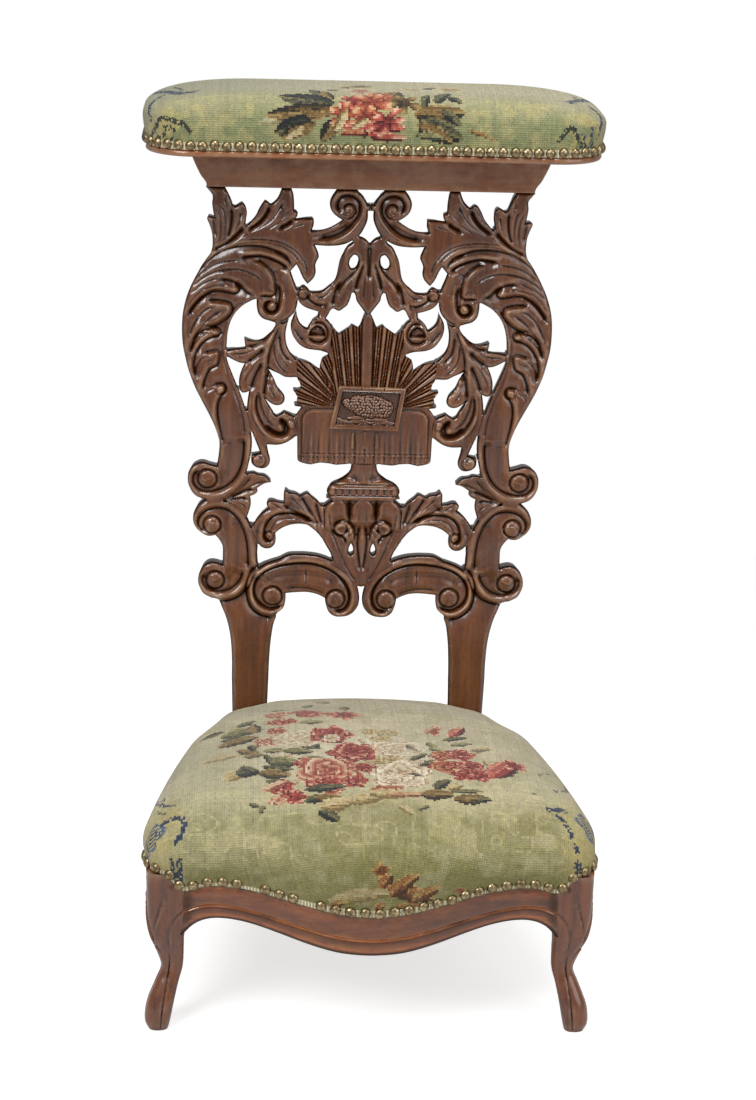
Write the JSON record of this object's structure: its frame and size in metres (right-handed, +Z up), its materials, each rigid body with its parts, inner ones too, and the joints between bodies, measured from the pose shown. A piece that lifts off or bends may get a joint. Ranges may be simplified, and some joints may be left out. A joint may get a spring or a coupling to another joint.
{
  "type": "prie dieu",
  "caption": "Carved walnut prie dieu: pierced scroll back, padded needlepoint armrest on top and a low padded seat on short cabriole legs.",
  "frame": {"origin": "on the floor, below the middle of the outline box", "axes": "+X to the right of someone who faces the front of the seat, +Y from the front of the seat towards the back, +Z up"},
  "size_m": [0.4766, 0.5012, 0.877],
  "materials": {
    "carved_walnut": "waxed, dark in the hollows and rubbed pale on the high parts",
    "seat_walnut": "waxed and polished",
    "beech": "raw",
    "needlepoint": "wool cross stitch, faded",
    "horsehair": "curled hair pad",
    "linen": "coarse plain weave",
    "jute_webbing": "tight twill tape",
    "antique_brass": "dulled, with bright tops"
  },
  "bodies": {
    "root": {"top_rail": "carved_walnut", "centre_pendant": "carved_walnut", "sunburst": "carved_walnut", "altar_cloth": "carved_walnut", "lamb_plaque": "carved_walnut", "pedestal": "carved_walnut", "urn": "carved_walnut", "back_post_left": "carved_walnut", "back_post_right": "carved_walnut", "crest_scroll_left": "carved_walnut", "crest_scroll_right": "carved_walnut", "hood_scroll_left": "carved_walnut", "hood_scroll_right": "carved_walnut", "side_leaf_left": "carved_walnut", "side_leaf_right": "carved_walnut", "spandrel_leaf_left": "carved_walnut", "spandrel_leaf_right": "carved_walnut", "drop_scroll_left": "carved_walnut", "drop_scroll_right": "carved_walnut", "acanthus_scroll_left": "carved_walnut", "acanthus_scroll_right": "carved_walnut", "arch_scroll_left": "carved_walnut", "arch_scroll_right": "carved_walnut", "front_rail": "seat_walnut", "side_rail_left": "seat_walnut", "side_rail_right": "seat_walnut", "front_leg_left": "seat_walnut", "front_leg_right": "seat_walnut", "armrest_board": "seat_walnut", "rear_rail": "beech", "corner_block_front_left": "beech", "corner_block_front_right": "beech", "corner_block_rear_left": "beech", "corner_block_rear_right": "beech", "armrest_cover": "needlepoint", "seat_cover": "needlepoint", "armrest_stuffing": "horsehair", "seat_stuffing": "horsehair", "seat_hessian": "linen", "webbing_long_1": "jute_webbing", "webbing_long_2": "jute_webbing", "webbing_long_3": "jute_webbing", "webbing_cross_1": "jute_webbing", "webbing_cross_2": "jute_webbing", "webbing_cross_3": "jute_webbing", "armrest_nail_trim": "antique_brass", "seat_nail_trim": "antique_brass"}
  },
  "joints": []
}
